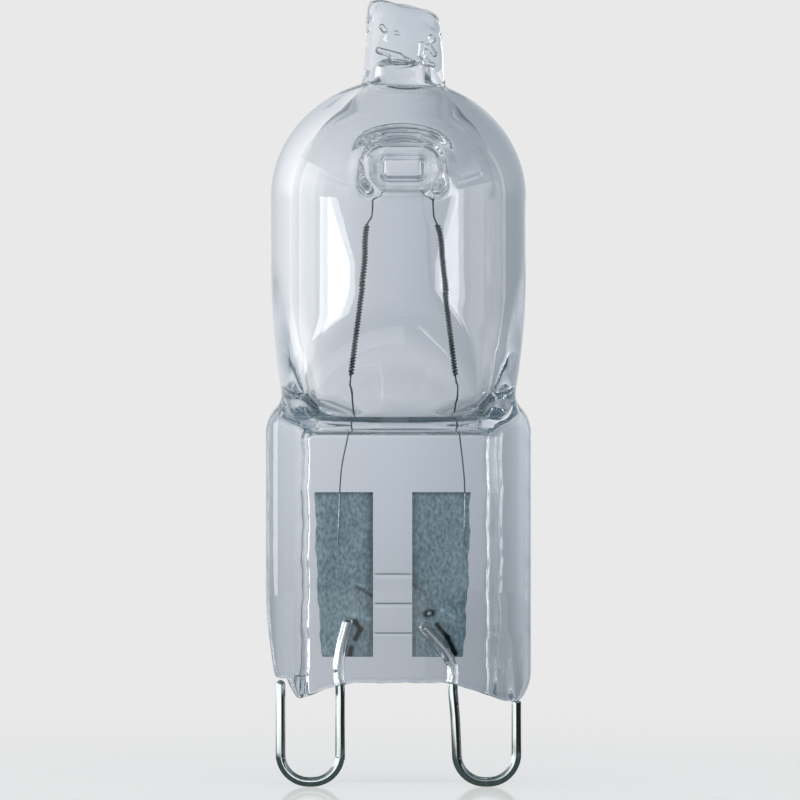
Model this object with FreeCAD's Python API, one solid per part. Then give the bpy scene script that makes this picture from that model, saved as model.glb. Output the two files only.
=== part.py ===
"""Halogen capsule lamp with two wire loops, in millimetres.

The lamp stands upright along +Z, with its front towards -Y. The origin is on the lamp's
axis at the lower end of the glass pinch, where the lampholder takes it.
"""
import FreeCAD, Part
import math
import os

from FreeCAD import Vector

# Pinch: two side beads with a thinner web between them
pinch_width = 13.5
pinch_thickness = 4.4
pinch_height = 13.5
bead_edge_radius = 1.0
bead_shoulder_rise = 0.6
web_width = 9.0
web_thickness = 2.4
web_draft_deg = 35.0
arch_height = 0.9
arch_top_width = 5.6
arch_bottom_width = 10.4
corner_cut_height = 3.0
corner_radius = 0.6
groove_diameter = 1.3
groove_depth = 0.6
groove_height = 3.3
rib_count = 3
rib_spacing = 1.5
rib_rise = 1.2
rib_length = 1.7
rib_width = 0.3

# Waist, where the round bulb is pressed flat and drawn in above the pinch
waist_inset = 0.42
waist_rise = 1.9
waist_bend = 1.2
side_rise = 3.8
closing_foot_rise = 0.4
closing_foot_bend = 2.0
closing_knee_inset = 0.6
closing_knee_rise = 4.1
closing_knee_bend = 2.5
closing_rise = 5.6

# Round bulb with a half-round dome
bulb_diameter = 13.0
bulb_wall = 1.0
dome_rise = 11.86

# Exhaust stub, melted shut, a little off the axis like the dents and the filament
upper_offset = 0.25
stub_diameter = 4.15
stub_tip_diameter = 3.75
stub_height = 3.9
stub_crown_diameter = 2.2
stub_crown_slope_deg = 28.0
stub_lean = 0.43
vent_diameter = 2.6
vent_rise = 0.9

# Front and rear dents, which leave a pillar across the hollow
dent_rise = 1.84
dent_floor_width = 2.2
dent_floor_height = 1.2
dent_corner_radius = 0.35
dent_draft_deg = 10.0
dent_web = 1.1
scoop_radius = 3.0
scoop_depth = 1.2
scoop_lift = 0.8
pillar_width = 3.1
pillar_height = 3.4
pillar_edge_radius = 0.6
pillar_flare_deg = 9.0

# Hollow at the pinch, closed down to a slit
slit_thickness = 0.5
slit_rise = 0.6
slit_inset = 1.05
slit_bend_rise = 0.5
hollow_knee_inset = 0.7
hollow_knee_rise = 4.4
hollow_knee_bend = 2.0
hollow_rise = 6.2
hollow_side_rise = 4.3

# Molybdenum foils
foil_width = 3.0
foil_gap = 2.0
foil_offset = -0.3
foil_thickness = 0.04
foil_feather = 0.3
foil_rise = 1.3
foil_length = 8.4

# Filament: thin tungsten wire, wound into a coil on its two legs
tungsten_diameter = 0.11
tail_overlap = 2.8
left_tail_inset = 1.3
right_tail_inset = 0.35
coil_diameter = 0.32
coil_rise = 2.3
coil_length = 7.6
coil_bottom_spacing = 5.2
coil_top_spacing = 3.86
bridge_jog = 0.6

# Terminal wires and their loops
wire_diameter = 0.5
loop_spacing = 9.0
loop_width = 3.04
loop_drop = 4.45
loop_roundness = 0.94
left_free_end = 1.0
left_kink_rise = 0.7
left_weld_inset = 1.3
left_weld_rise = 1.8
right_kink_rise = 0.9
right_lean = 0.25
right_weld_inset = 0.6
right_weld_rise = 1.55

# Clearances
lead_gap = 0.03
seat_gap = 0.02
end_gap = 0.06

# How far past the glass a trimming tool runs, as a multiple of its last straight run
RUN_OUT = 1.5

# Sizes worked out from those above
bulb_radius = bulb_diameter / 2
bore_radius = bulb_radius - bulb_wall
edge_x = pinch_width / 2
waist_x = bulb_radius - waist_inset
waist_z = pinch_height + waist_rise
dome_z = pinch_height + dome_rise
dome_top_z = dome_z + bulb_radius
dent_z = dome_z + dent_rise
slit_z = pinch_height + slit_rise
foil_bottom_z = arch_height + foil_rise
foil_top_z = foil_bottom_z + foil_length
foil_y = wire_diameter / 2 + foil_thickness / 2
tungsten_y = foil_y - foil_thickness / 2 - tungsten_diameter / 2
coil_bottom_z = slit_z + coil_rise
coil_top_z = coil_bottom_z + coil_length
outer_leg_x = loop_spacing / 2 + loop_width / 2
inner_leg_x = loop_spacing / 2 - loop_width / 2
loop_bottom_z = -loop_drop + wire_diameter / 2


def between(low, high, share):
    """Value at a share of the way from low to high, or past high when share is over 1."""
    return low + (high - low) * share


def line(start, end):
    """Straight edge."""
    return Part.LineSegment(start, end).toShape()


def bent_path(knots, bends):
    """Edges of straight runs through the knots, with a tangent arc where a bend has a radius."""
    edges = []
    start = knots[0]
    for before, knot, after, bend in zip(knots, knots[1:], knots[2:], bends):
        inward = (knot - before).normalize()
        outward = (after - knot).normalize()
        turn = inward.getAngle(outward)
        setback = bend * math.tan(turn / 2)
        entry = knot - inward * setback
        leave = knot + outward * setback
        edges.append(line(start, entry))
        if bend > 0:
            middle = (outward - inward).normalize()
            crown = knot + middle * (bend / math.cos(turn / 2) - bend)
            edges.append(Part.Arc(entry, crown, leave).toShape())
        start = leave
    edges.append(line(start, knots[-1]))
    return edges


def drawn_out(knots, bends, travel):
    """Solid of a closed outline, drawn out along travel."""
    edges = bent_path(knots, bends)
    edges.append(line(knots[-1], knots[0]))
    return Part.Face(Part.Wire(edges)).extrude(travel)


def across_y(points, half_depth):
    """Solid of an outline in the XZ plane, drawn out to both sides of it."""
    knots = [Vector(x, -half_depth, z) for x, z in points]
    return drawn_out(knots, [0] * (len(knots) - 2), Vector(0, 2 * half_depth, 0))


def round_wire(points, bends, y, diameter):
    """Round wire along a path in the plane at depth y, mitred where it has no bend."""
    knots = [Vector(x, y, z) for x, z in points]
    path = Part.Wire(bent_path(knots, bends))
    section = Part.Wire(Part.Circle(knots[0], knots[1] - knots[0], diameter / 2).toShape())
    return path.makePipeShell([section], True, False, 1)


def trim(side, profile, bends, along_x):
    """Tool that trims one flank to a profile of (distance from the axis, height) points."""
    far = bulb_diameter
    (last_d, last_z), (end_d, end_z) = profile[-2:]
    end = (between(last_d, end_d, RUN_OUT), between(last_z, end_z, RUN_OUT))
    points = profile[:-1] + [end, (far, end[1]), (far, profile[0][1])]
    if along_x:
        knots = [Vector(side * distance, -far, z) for distance, z in points]
        travel = Vector(0, 2 * far, 0)
    else:
        knots = [Vector(-far, side * distance, z) for distance, z in points]
        travel = Vector(2 * far, 0, 0)
    return drawn_out(knots, bends + [0, 0], travel)


def trims(front, front_bends, flank, flank_bends):
    """The four tools that trim a round bar flat: front, rear, left and right."""
    tools = []
    for side in (-1, 1):
        tools.append(trim(side, front, front_bends, False))
        tools.append(trim(side, flank, flank_bends, True))
    return tools


def domed_bar(radius, bottom_z):
    """Round bar with a half-round top end."""
    bar = Part.makeCylinder(radius, dome_z - bottom_z, Vector(0, 0, bottom_z))
    dome = Part.makeSphere(radius, Vector(0, 0, dome_z), Vector(0, 0, 1), 0, 90, 360)
    return bar.fuse(dome).removeSplitter()


def bulb():
    """Round bulb, pressed flat at its foot and drawn in at the waist."""
    foot_y = pinch_thickness / 2 - seat_gap
    front = [
        (foot_y, 0),
        (foot_y, pinch_height + closing_foot_rise),
        (bulb_radius - closing_knee_inset, pinch_height + closing_knee_rise),
        (bulb_radius, pinch_height + closing_rise),
    ]
    flank = [(waist_x, 0), (waist_x, waist_z), (bulb_radius, pinch_height + side_rise)]
    tools = trims(front, [closing_foot_bend, closing_knee_bend], flank, [waist_bend])
    return domed_bar(bulb_radius, pinch_height).cut(tools)


def pinch():
    """Flat block with rounded long edges and sloping shoulders, reaching up into the bulb."""
    half = pinch_thickness / 2
    top_z = waist_z + bead_shoulder_rise / 2
    block = Part.makeBox(pinch_width, pinch_thickness, top_z, Vector(-edge_x, -half, 0))
    upright = [edge for edge in block.Edges if edge.BoundBox.ZLength > pinch_height]
    block = block.makeFillet(bead_edge_radius, upright)
    shoulder = [(edge_x, pinch_height + bead_shoulder_rise), (waist_x, waist_z)]
    return block.cut([trim(side, shoulder, [], True) for side in (-1, 1)])


def drafted_pocket(side, web, centre, width, height, draft_deg):
    """Rectangular recess with sloping walls, from a floor at half the web out past the glass."""
    floor_y = side * web / 2
    mouth_y = side * bulb_diameter
    grow = (bulb_diameter - web / 2) * math.tan(math.radians(draft_deg))
    plan = []
    flank = []
    for y, sign, growth in ((floor_y, -1, 0), (mouth_y, -1, grow), (mouth_y, 1, grow), (floor_y, 1, 0)):
        plan.append(Vector(centre.x + sign * (width / 2 + growth), y, centre.z - bulb_diameter - height))
        flank.append(Vector(centre.x - bulb_diameter - width, y, centre.z + sign * (height / 2 + growth)))
    slot = drawn_out(plan, [0, 0], Vector(0, 0, 2 * (bulb_diameter + height)))
    return slot.common(drawn_out(flank, [0, 0], Vector(2 * (bulb_diameter + width), 0, 0)))


def web_pocket(side):
    """Recess that leaves the web on one side of the pinch."""
    return drafted_pocket(side, web_thickness, Vector(), web_width, 2 * pinch_height, web_draft_deg)


def press_ribs():
    """Fine ribs on the front of the web, between the foils."""
    ribs = []
    half = rib_width / 2
    for rib in range(rib_count):
        rib_z = foil_bottom_z + rib_rise + rib * rib_spacing
        crest = Vector(foil_offset - rib_length / 2, -web_thickness / 2 - half, rib_z)
        knots = [crest, crest + Vector(0, rib_width, rib_width), crest + Vector(0, rib_width, -rib_width)]
        ribs.append(drawn_out(knots, [0], Vector(rib_length, 0, 0)))
    return ribs


def bead_grooves():
    """Scoops up the front and rear of both beads, over the loops' outer legs."""
    grooves = []
    face_y = pinch_thickness / 2 + groove_diameter / 2
    for side_x in (-1, 1):
        for side_y in (-1, 1):
            run_out = Vector(side_x * outer_leg_x, side_y * face_y, groove_height)
            slope = Vector(0, -side_y * groove_depth, -groove_height)
            grooves.append(Part.makeCylinder(groove_diameter / 2, 2 * groove_height, run_out, slope))
    return grooves


def pinch_cuts():
    """Arch under the web, and the two lower corners of the pinch."""
    arch = [
        (-arch_bottom_width / 2, -arch_height),
        (-arch_bottom_width / 2, 0),
        (-arch_top_width / 2, arch_height),
        (arch_top_width / 2, arch_height),
        (arch_bottom_width / 2, 0),
        (arch_bottom_width / 2, -arch_height),
    ]
    leg_x = outer_leg_x - wire_diameter / 2 - end_gap
    left = [
        (-edge_x, corner_cut_height),
        (-leg_x, left_free_end + end_gap),
        (-leg_x, -arch_height),
        (-edge_x - arch_height, -arch_height),
        (-edge_x - arch_height, corner_cut_height),
    ]
    right = [
        (edge_x - corner_radius, -arch_height),
        (edge_x - corner_radius, corner_radius),
        (edge_x + arch_height, corner_radius),
        (edge_x + arch_height, -arch_height),
    ]
    centre = Vector(edge_x - corner_radius, -pinch_thickness, corner_radius)
    rounding = Part.makeCylinder(corner_radius, 2 * pinch_thickness, centre, Vector(0, 1, 0))
    cuts = [across_y(arch, pinch_thickness), across_y(left, pinch_thickness)]
    return cuts + [across_y(right, pinch_thickness).cut(rounding)]


def exhaust_stub():
    """Tapered stub on the dome, with a leaning crown where it was melted off."""
    foot_z = dome_top_z - stub_diameter / 2
    height = dome_top_z + stub_height - foot_z
    taper = Part.makeCone(stub_diameter / 2, stub_tip_diameter / 2, height, Vector(upper_offset, 0, foot_z))
    small = stub_crown_diameter / 2
    large = small + height / math.tan(math.radians(stub_crown_slope_deg))
    return taper.common(Part.makeCone(large, small, height, Vector(upper_offset - stub_lean, 0, foot_z)))


def scoop(side, wall=0.0):
    """Trough across the front (-1) or rear (1) of the bulb, at the mouth of a dent."""
    centre_y = side * (bulb_radius - scoop_depth + scoop_radius)
    start = Vector(-bulb_diameter, centre_y, dent_z + scoop_lift)
    return Part.makeCylinder(scoop_radius + wall, 2 * bulb_diameter, start, Vector(1, 0, 0))


def dent(side):
    """Slot with rounded corners, pressed in from the front (-1) or the rear (1)."""
    centre = Vector(upper_offset, 0, dent_z)
    slot = drafted_pocket(side, dent_web, centre, dent_floor_width, dent_floor_height, dent_draft_deg)
    corners = [edge for edge in slot.Edges if edge.BoundBox.YLength > dent_web]
    return slot.makeFillet(dent_corner_radius, corners)


def pillar():
    """Glass between the dents: a square post with rounded edges that flares to front and rear."""
    growth = bulb_radius * math.tan(math.radians(pillar_flare_deg))
    near = pillar_width / 2
    wide = near + growth
    low = pillar_height / 2
    tall = low + growth
    reach = bulb_diameter
    plan = [(-wide, -1), (-near, 0), (-wide, 1), (wide, 1), (near, 0), (wide, -1)]
    knots = [Vector(upper_offset + x, y * bulb_radius, dent_z - reach) for x, y in plan]
    post = drawn_out(knots, [0] * 4, Vector(0, 0, 2 * reach))
    flank = [(-tall, -1), (-low, 0), (-tall, 1), (tall, 1), (low, 0), (tall, -1)]
    knots = [Vector(-reach, y * bulb_radius, dent_z + z) for z, y in flank]
    post = post.common(drawn_out(knots, [0] * 4, Vector(2 * reach, 0, 0)))
    corners = [edge for edge in post.Edges if edge.BoundBox.YLength > dent_web]
    return post.makeFillet(pillar_edge_radius, corners)


def glass_body():
    """Outer form of the envelope, with no hollow in it."""
    body = bulb().fuse([pinch(), exhaust_stub()])
    body = body.cut([web_pocket(-1), web_pocket(1)] + pinch_cuts() + bead_grooves())
    body = body.fuse(press_ribs())
    return body.cut([tool(side) for tool in (scoop, dent) for side in (-1, 1)])


def hollow():
    """Gas space of the bulb and stub, with the pillar standing in it."""
    front = [
        (slit_thickness / 2, 0),
        (slit_thickness / 2, slit_z + slit_bend_rise),
        (bore_radius - hollow_knee_inset, pinch_height + hollow_knee_rise),
        (bore_radius, pinch_height + hollow_rise),
    ]
    flank = [(bore_radius - slit_inset, slit_z), (bore_radius, pinch_height + hollow_side_rise)]
    tools = trims(front, [0, hollow_knee_bend], flank, [])
    space = domed_bar(bore_radius, slit_z).cut(tools + [scoop(side, bulb_wall) for side in (-1, 1)])
    vent = Part.makeCylinder(vent_diameter / 2, bulb_radius + vent_rise, Vector(upper_offset, 0, dome_z))
    return space.fuse(vent).cut(pillar())


def foil_edges(side):
    """Inner and outer edge of the foil on one side (-1 left, 1 right)."""
    inner = foil_offset + side * foil_gap / 2
    return inner, inner + side * foil_width


def foil(side):
    """Flat strip with feathered long edges."""
    start, end = sorted(foil_edges(side))
    half = foil_thickness / 2
    outline = [
        (start, 0),
        (start + foil_feather, -half),
        (end - foil_feather, -half),
        (end, 0),
        (end - foil_feather, half),
        (start + foil_feather, half),
    ]
    knots = [Vector(x, foil_y + y, foil_bottom_z) for x, y in outline]
    return drawn_out(knots, [0] * 4, Vector(0, 0, foil_length))


def tail_points(side):
    """Straight tail of the filament from the foil up to the coil."""
    inset = left_tail_inset if side < 0 else right_tail_inset
    foil_x = foil_edges(side)[1] - side * inset
    coil_x = upper_offset + side * coil_bottom_spacing / 2
    return [(foil_x, foil_top_z - tail_overlap), (coil_x, coil_bottom_z)]


def coil_points(side):
    """Line of the coil on one leg."""
    bottom_x = upper_offset + side * coil_bottom_spacing / 2
    top_x = upper_offset + side * coil_top_spacing / 2
    return [(bottom_x, coil_bottom_z), (top_x, coil_top_z)]


def bridge_points():
    """Plain wire from one coil over the pillar to the other."""
    flare = tungsten_y * math.tan(math.radians(pillar_flare_deg))
    stand_off = flare + seat_gap + tungsten_diameter
    half_width = pillar_width / 2 + stand_off
    left_side = [
        (upper_offset - coil_top_spacing / 2, coil_top_z),
        (upper_offset - half_width, coil_top_z + bridge_jog),
        (upper_offset - half_width, dent_z + pillar_height / 2 + stand_off),
    ]
    right_side = [(2 * upper_offset - x, z) for x, z in reversed(left_side)]
    return left_side + right_side


def filament():
    """Whole tungsten wire: tails, coiled legs and bridge."""
    pieces = [round_wire(bridge_points(), [0] * 4, tungsten_y, tungsten_diameter)]
    for side in (-1, 1):
        pieces.append(round_wire(tail_points(side), [], tungsten_y, tungsten_diameter))
        pieces.append(round_wire(coil_points(side), [], tungsten_y, coil_diameter))
    return pieces[0].fuse(pieces[1:])


def tail_channel(side):
    """Room for a filament tail in the pinch, up into the hollow."""
    (foil_x, foil_z), coil = tail_points(side)
    room = [(foil_x, foil_z - end_gap), coil]
    return round_wire(room, [], tungsten_y, tungsten_diameter + 2 * seat_gap)


def terminal_points(side):
    """Line of a terminal wire from its free end round the loop to its weld on the foil."""
    if side < 0:
        free_z = left_free_end
        kink = (-inner_leg_x, arch_height + left_kink_rise)
        weld = (foil_edges(side)[0] - left_weld_inset, foil_bottom_z + left_weld_rise)
    else:
        free_z = -end_gap
        kink = (inner_leg_x - right_lean, arch_height + right_kink_rise)
        weld = (foil_edges(side)[0] + right_weld_inset, foil_bottom_z + right_weld_rise)
    outer_x = side * outer_leg_x
    inner_x = side * inner_leg_x
    return [(outer_x, free_z), (outer_x, loop_bottom_z), (inner_x, loop_bottom_z), kink, weld]


def terminal(side, growth=0.0):
    """Terminal wire, or the room for it when growth is its clearance."""
    points = terminal_points(side)
    kink_x, kink_z = points[-2]
    weld_x, weld_z = points[-1]
    reach = 1 + growth / math.hypot(weld_x - kink_x, weld_z - kink_z)
    points[-1] = (between(kink_x, weld_x, reach), between(kink_z, weld_z, reach))
    loop_bend = loop_roundness * loop_width / 2
    return round_wire(points, [loop_bend, loop_bend, 0], 0, wire_diameter + 2 * growth)


def envelope():
    """Clear quartz with its hollow, and room for the foils and wires sealed in it."""
    room = [hollow()]
    for side in (-1, 1):
        room += [foil(side), tail_channel(side), terminal(side, lead_gap)]
    return glass_body().cut(room)


def main():
    """Write each piece to its own file."""
    os.makedirs("parts", exist_ok=True)
    pieces = {
        "quartz_envelope": envelope(),
        "filament": filament(),
        "foil_left": foil(-1),
        "foil_right": foil(1),
        "terminal_left": terminal(-1),
        "terminal_right": terminal(1),
    }
    for name, shape in pieces.items():
        solids = len(shape.Solids)
        print(name, "solids", solids, "valid", shape.isValid(), "volume", round(shape.Volume, 4))
        shape.exportStep(os.path.join("parts", name + ".step"))


main()
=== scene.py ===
"""Halogen capsule bulb: its looks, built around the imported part.

Shapes are worked out in millimetres in the part's frame, and their meshes are made in metres.
"""

import math

import bpy
import numpy as np
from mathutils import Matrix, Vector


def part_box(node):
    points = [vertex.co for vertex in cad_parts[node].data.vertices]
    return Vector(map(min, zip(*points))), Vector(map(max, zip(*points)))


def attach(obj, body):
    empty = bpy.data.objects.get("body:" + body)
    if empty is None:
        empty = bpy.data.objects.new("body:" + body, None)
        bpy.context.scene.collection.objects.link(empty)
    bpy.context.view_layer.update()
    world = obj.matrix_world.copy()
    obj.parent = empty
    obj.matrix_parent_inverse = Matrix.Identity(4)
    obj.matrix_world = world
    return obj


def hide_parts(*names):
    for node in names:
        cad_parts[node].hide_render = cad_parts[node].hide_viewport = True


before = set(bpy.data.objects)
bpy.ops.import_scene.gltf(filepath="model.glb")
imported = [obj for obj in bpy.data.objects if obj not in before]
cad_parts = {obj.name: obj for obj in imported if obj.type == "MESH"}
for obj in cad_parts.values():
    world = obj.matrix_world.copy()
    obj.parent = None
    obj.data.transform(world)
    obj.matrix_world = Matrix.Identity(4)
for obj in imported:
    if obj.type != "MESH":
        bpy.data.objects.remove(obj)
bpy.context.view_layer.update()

MM = 0.001


def cad_corners(node):
    """Lowest and highest corner of a CAD node, in millimetres."""
    low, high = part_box(node)
    return np.array(low) / MM, np.array(high) / MM


_, glass_high = cad_corners("quartz_envelope")
wire_low, wire_high = cad_corners("terminal_left")
foil_low, foil_high = cad_corners("foil_left")

# Pinch
pinch_half_width = glass_high[0]
pinch_half_depth = 2.2
pinch_height = 13.5
bead_radius = 0.95
web_x = -0.04
web_top_z = 13.7
web_half_width = 4.7
web_half_depth = 1.2
web_draft = (math.radians(13.0), math.radians(26.0))
web_top_draft = math.radians(12.0)
shoulder_x = 6.4
shoulder_z = 14.77
shoulder_slope = math.radians(43.0)
arch_height = 0.9
arch_half_width = 2.8
arch_slope = 0.375
rib_heights = (3.4, 4.9, 6.4)
rib_ends = (-1.15, 0.6)
rib_radius = 0.07
rib_offset = 0.03
groove_top = (5.3, pinch_half_depth + 0.35, 3.2)
groove_foot = (5.4, pinch_half_depth + 0.05, -1.0)
groove_radius = 0.35
notch_x = -5.72
notch_z = 1.15
notch_facing = (0.874, 0.486)
left_taper_start = (-6.8, 4.3)
left_taper_facing = (0.987, 0.163)
right_cut_z = 0.9
right_cut_facing = (-0.853, 0.522)
pinch_overlap = 0.6
web_waver = (0.03, 0.015)
chip_depths = (0.02, 0.012)
shoulder_fillet = 0.6
foot_fillet = 0.25
web_corner_fillet = 0.4
web_floor_fillet = 0.22
web_edge_fillet = 0.4
arch_fillet = 0.3
notch_fillet = 0.2
taper_fillet = 0.3
foot_cut_fillet = 0.3
groove_fillet = 0.25
rib_fillet = 0.04

# Bulb
bulb_radius = glass_high[1]
bulb_wall = 1.0
dome_z = 25.66
dome_height = 6.02
waist_x = 5.98
waist_z = 15.5
waist_slope = math.radians(12.5)
closing_z = 15.0
closing_half_depth = 3.9
closing_slope = math.radians(33.0)
shelf_z = 14.4
shelf_slope = math.radians(80.0)
slit_half = (4.45, 0.36, 0.4)
slit_z = 14.55
slit_sag = 0.3
slit_side_slope = math.radians(12.5)
slit_corner_share = 0.9
trough_share = 0.8
closing_fillet = 1.5
shelf_fillet = 0.6
waist_fillet = 0.9
bulb_overlap = 1.0
bulb_pinch_fillet = 0.5
inner_closing_fillet = 1.2
trough_fillet = 0.4
slit_fillet = 0.2
inner_side_fillet = 0.8

# Dents, pillar and exhaust stub, which are a little off the axis
upper_x = 0.22
dent_z = 27.15
dent_web = 1.1
dent_half = (1.1, 0.62)
dent_draft = (0.1, 0.06)
dent_flare = (0.012, 0.008)
dent_corner = 0.3
dent_corner_growth = 0.1
dent_steepness = 0.9
dent_end_fillet = 0.3
dent_mouth_fillet = 0.5
pillar_z = 27.2
pillar_half = (1.52, 1.36)
pillar_arch = 0.1
pillar_saddle = (0.42, 0.04)
pillar_corner = 0.5
pillar_fillet = 0.4
dimple_z = 27.2
dimple_half = (2.8, 1.8)
dimple_depth = 0.2
dimple_foot_z = 25.7
dimple_fade = 1.7
dimple_rim = 0.22
flare_foot_z = 25.7
flare_rise = 2.0
stub_x = 0.27
stub_radius = 2.1
stub_taper = 0.065
stub_foot_z = 31.6
stub_top_z = 35.62
stub_top_slope = 0.2
stub_tip_x = -0.7
stub_wobble = (0.05, 0.04)
stub_dimples = 0.022
stub_lumps = 0.09
stub_overlap = 1.0
stub_tip_fillet = 0.5
stub_root_fillet = 0.15
vent_radius = 1.0
vent_foot_z = 29.8
vent_top_z = 32.3
vent_slope = 0.25
vent_crown_centre = (stub_x - 0.15, -0.2, vent_top_z)
vent_crown_half = (0.85, 0.8, 0.45)
vent_crown_fillet = 0.2
vent_mouth_fillet = 2.6
bubble_fillet = 0.2

# Wires
wire_radius = (wire_high[1] - wire_low[1]) / 2
wire_sides = 28
wire_step = 0.05
channel_gap = 0.05
floor_z = wire_low[2]
loop_bend = 1.43
loop_outer_x = 6.02
loop_inner_x = 2.98
loop_points = 9
left_end_heights = (1.0, 0.2, -1.2)
right_end_heights = (-0.06, -0.9, -1.9)
right_end_rounding = 0.06
lead_foot_x = (-loop_inner_x, 2.9)
lead_foot_z = -1.0
coil_pitch = 0.155
coil_radius = 0.115
coil_ease = 0.13
coil_wire_radius = 0.05
bridge_radius = 0.046
tail_radius = 0.036
tail_lift = 0.055
filament_step = 0.009
filament_sides = 6

# Foils, and the painted shade and painted highlights on them: start, end, width and change of tone
foil_columns = 60
foil_rows = 180
foil_drawn_in = 0.34
foil_inset = 0.06
foil_edge_waves = (0.035, 0.02)
foil_half_thickness = 0.02
foil_feather = 0.3
foil_waves = 9
foil_crease = 0.006
# Painted shade on the foils: darker along the inner edge and near the top
foil_tone = 0.53
inner_shade = 0.22
inner_shade_reach = 0.3
foil_width = 2.8
top_shade = 0.25
top_shade_reach = 0.13
# Strokes of painted shade where the change is negative and painted highlight where it is positive, round
# each weld
LEFT_PAINTED_STROKES = [
    ((-2.1, 5.75), (-1.35, 5.3), 0.1, -0.32),
    ((-2.2, 5.95), (-1.8, 5.8), 0.08, 0.18),
    ((-2.45, 4.4), (-1.4, 4.1), 0.1, 0.22),
    ((-2.75, 4.12), (-2.35, 3.98), 0.10, -0.95),
    ((-2.2, 4.0), (-1.95, 3.6), 0.11, -0.95),
    ((-1.95, 3.6), (-2.2, 3.1), 0.11, -0.95),
    ((-2.4, 2.65), (-2.5, 2.3), 0.11, -0.95),
    ((-3.3, 2.45), (-3.25, 2.3), 0.07, -0.4),
]
RIGHT_PAINTED_STROKES = [
    ((0.75, 5.9), (1.3, 5.5), 0.1, -0.2),
    ((1.42, 4.38), (1.7, 4.44), 0.17, -0.95),
    ((1.53, 4.4), (1.6, 4.42), 0.08, 1.6),
    ((1.25, 3.7), (1.75, 3.15), 0.10, -0.95),
    ((1.75, 3.15), (2.1, 2.5), 0.10, -0.95),
    ((1.95, 3.85), (2.5, 3.2), 0.10, -0.95),
    ((2.5, 3.2), (2.9, 2.35), 0.11, -0.95),
    ((2.2, 4.6), (2.9, 4.2), 0.1, 0.2),
]


def blend_min(a, b, radius):
    """Union of two fields, with a fillet of about that radius where they meet."""
    near = np.maximum(radius - np.abs(a - b), 0) / radius
    return np.minimum(a, b) - near * near * radius / 4


def blend_max(a, b, radius):
    """Common part of two fields, with a rounded edge."""
    return -blend_min(-a, -b, radius)


def slope_field(across, up, angle):
    """Distance past a slanting wall that starts at the origin and leans outwards by an angle."""
    return across * math.cos(angle) - up * math.sin(angle)


def rounded_box(u, v, half_u, half_v, radius):
    """Distance to a rectangle with rounded corners."""
    du = np.abs(u) - half_u + radius
    dv = np.abs(v) - half_v + radius
    outside = np.sqrt(np.maximum(du, 0) ** 2 + np.maximum(dv, 0) ** 2)
    return outside + np.minimum(np.maximum(du, dv), 0) - radius


def rod_field(x, y, z, start, end, radius):
    """Distance to a round-ended rod."""
    start = np.asarray(start, float)
    along = np.asarray(end, float) - start
    length = (along ** 2).sum()
    share = ((x - start[0]) * along[0] + (y - start[1]) * along[1] + (z - start[2]) * along[2]) / length
    share = np.clip(share, 0, 1)
    dx = x - start[0] - share * along[0]
    dy = y - start[1] - share * along[1]
    dz = z - start[2] - share * along[2]
    return np.sqrt(dx * dx + dy * dy + dz * dz) - radius


def egg(x, y, z, centre, radii):
    """Rough distance to an ellipsoid."""
    scaled = np.sqrt(sum(((p - c) / r) ** 2 for p, c, r in zip((x, y, z), centre, radii)))
    return (scaled - 1) * min(radii)


def domed_tube(x, y, z, radius, height):
    """Round tube with an elliptical dome."""
    lift = np.maximum(z - dome_z, 0) * (radius / height)
    return np.sqrt(x * x + y * y + lift * lift) - radius


def bulb_field(x, y, z):
    """Round bulb, pressed flat in front and behind and drawn in at the waist."""
    bulb = domed_tube(x, y, z, bulb_radius, dome_height)
    front = slope_field(np.abs(y) - closing_half_depth, z - closing_z, closing_slope)
    shelf = slope_field(np.abs(y) - pinch_half_depth, z - shelf_z, shelf_slope)
    side = slope_field(np.abs(x) - waist_x, z - waist_z, waist_slope)
    bulb = blend_max(bulb, front, closing_fillet)
    bulb = blend_max(bulb, shelf, shelf_fillet)
    bulb = blend_max(bulb, side, waist_fillet)
    return np.maximum(bulb, pinch_height - bulb_overlap - z)


def pinch_field(x, y, z):
    """Flat pinch with rounded beads, before the web is pressed in."""
    block = rounded_box(x, y, pinch_half_width, pinch_half_depth, bead_radius)
    shoulder = -slope_field(shoulder_z - z, np.abs(x) - shoulder_x, shoulder_slope)
    block = blend_max(block, shoulder, shoulder_fillet)
    block = blend_max(block, -z, foot_fillet)
    return np.maximum(block, z - waist_z - pinch_overlap)


def web_field(x, y, z):
    """Drafted recess in the front and rear of the pinch."""
    depth = np.abs(y) - web_half_depth
    reach = web_half_width + web_waver[0] * np.sin(1.9 * z) + web_waver[1] * np.sin(5.3 * z + 1.0)
    left = slope_field(web_x - x - reach, depth, web_draft[0])
    right = slope_field(x - web_x - reach, depth, web_draft[1])
    top = slope_field(z - web_top_z, depth, web_top_draft)
    walls = blend_max(np.maximum(left, right), top, web_corner_fillet)
    return blend_max(walls, -depth, web_floor_fillet)


def foot_cuts(x, y, z):
    """What is broken or pressed away at the foot of the pinch."""
    chips = chip_depths[0] * np.sin(3.1 * x + 0.8) + chip_depths[1] * np.sin(7.3 * x + 2.0 * y)
    arch_z = z - arch_height - chips
    slant = (arch_z + (np.abs(x) - arch_half_width) * arch_slope) / math.hypot(1, arch_slope)
    arch = blend_max(arch_z, slant, arch_fillet)
    past_x = x - notch_x
    past_z = z - notch_z
    slanted = np.maximum(notch_facing[0] * past_x + notch_facing[1] * past_z, past_z)
    notch = blend_min(np.maximum(past_x, past_z), slanted, notch_fillet)
    taper = left_taper_facing[0] * (x - left_taper_start[0])
    taper = taper + left_taper_facing[1] * (z - left_taper_start[1])
    notch = blend_min(notch, taper, taper_fillet)
    right_cut = right_cut_facing[0] * (x - pinch_half_width) + right_cut_facing[1] * (z - right_cut_z)
    return np.minimum(np.minimum(arch, notch), right_cut)


def groove_field(x, y, z):
    """Scoops up the front and rear of the right bead."""
    return rod_field(x, np.abs(y), z, groove_foot, groove_top, groove_radius)


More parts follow.
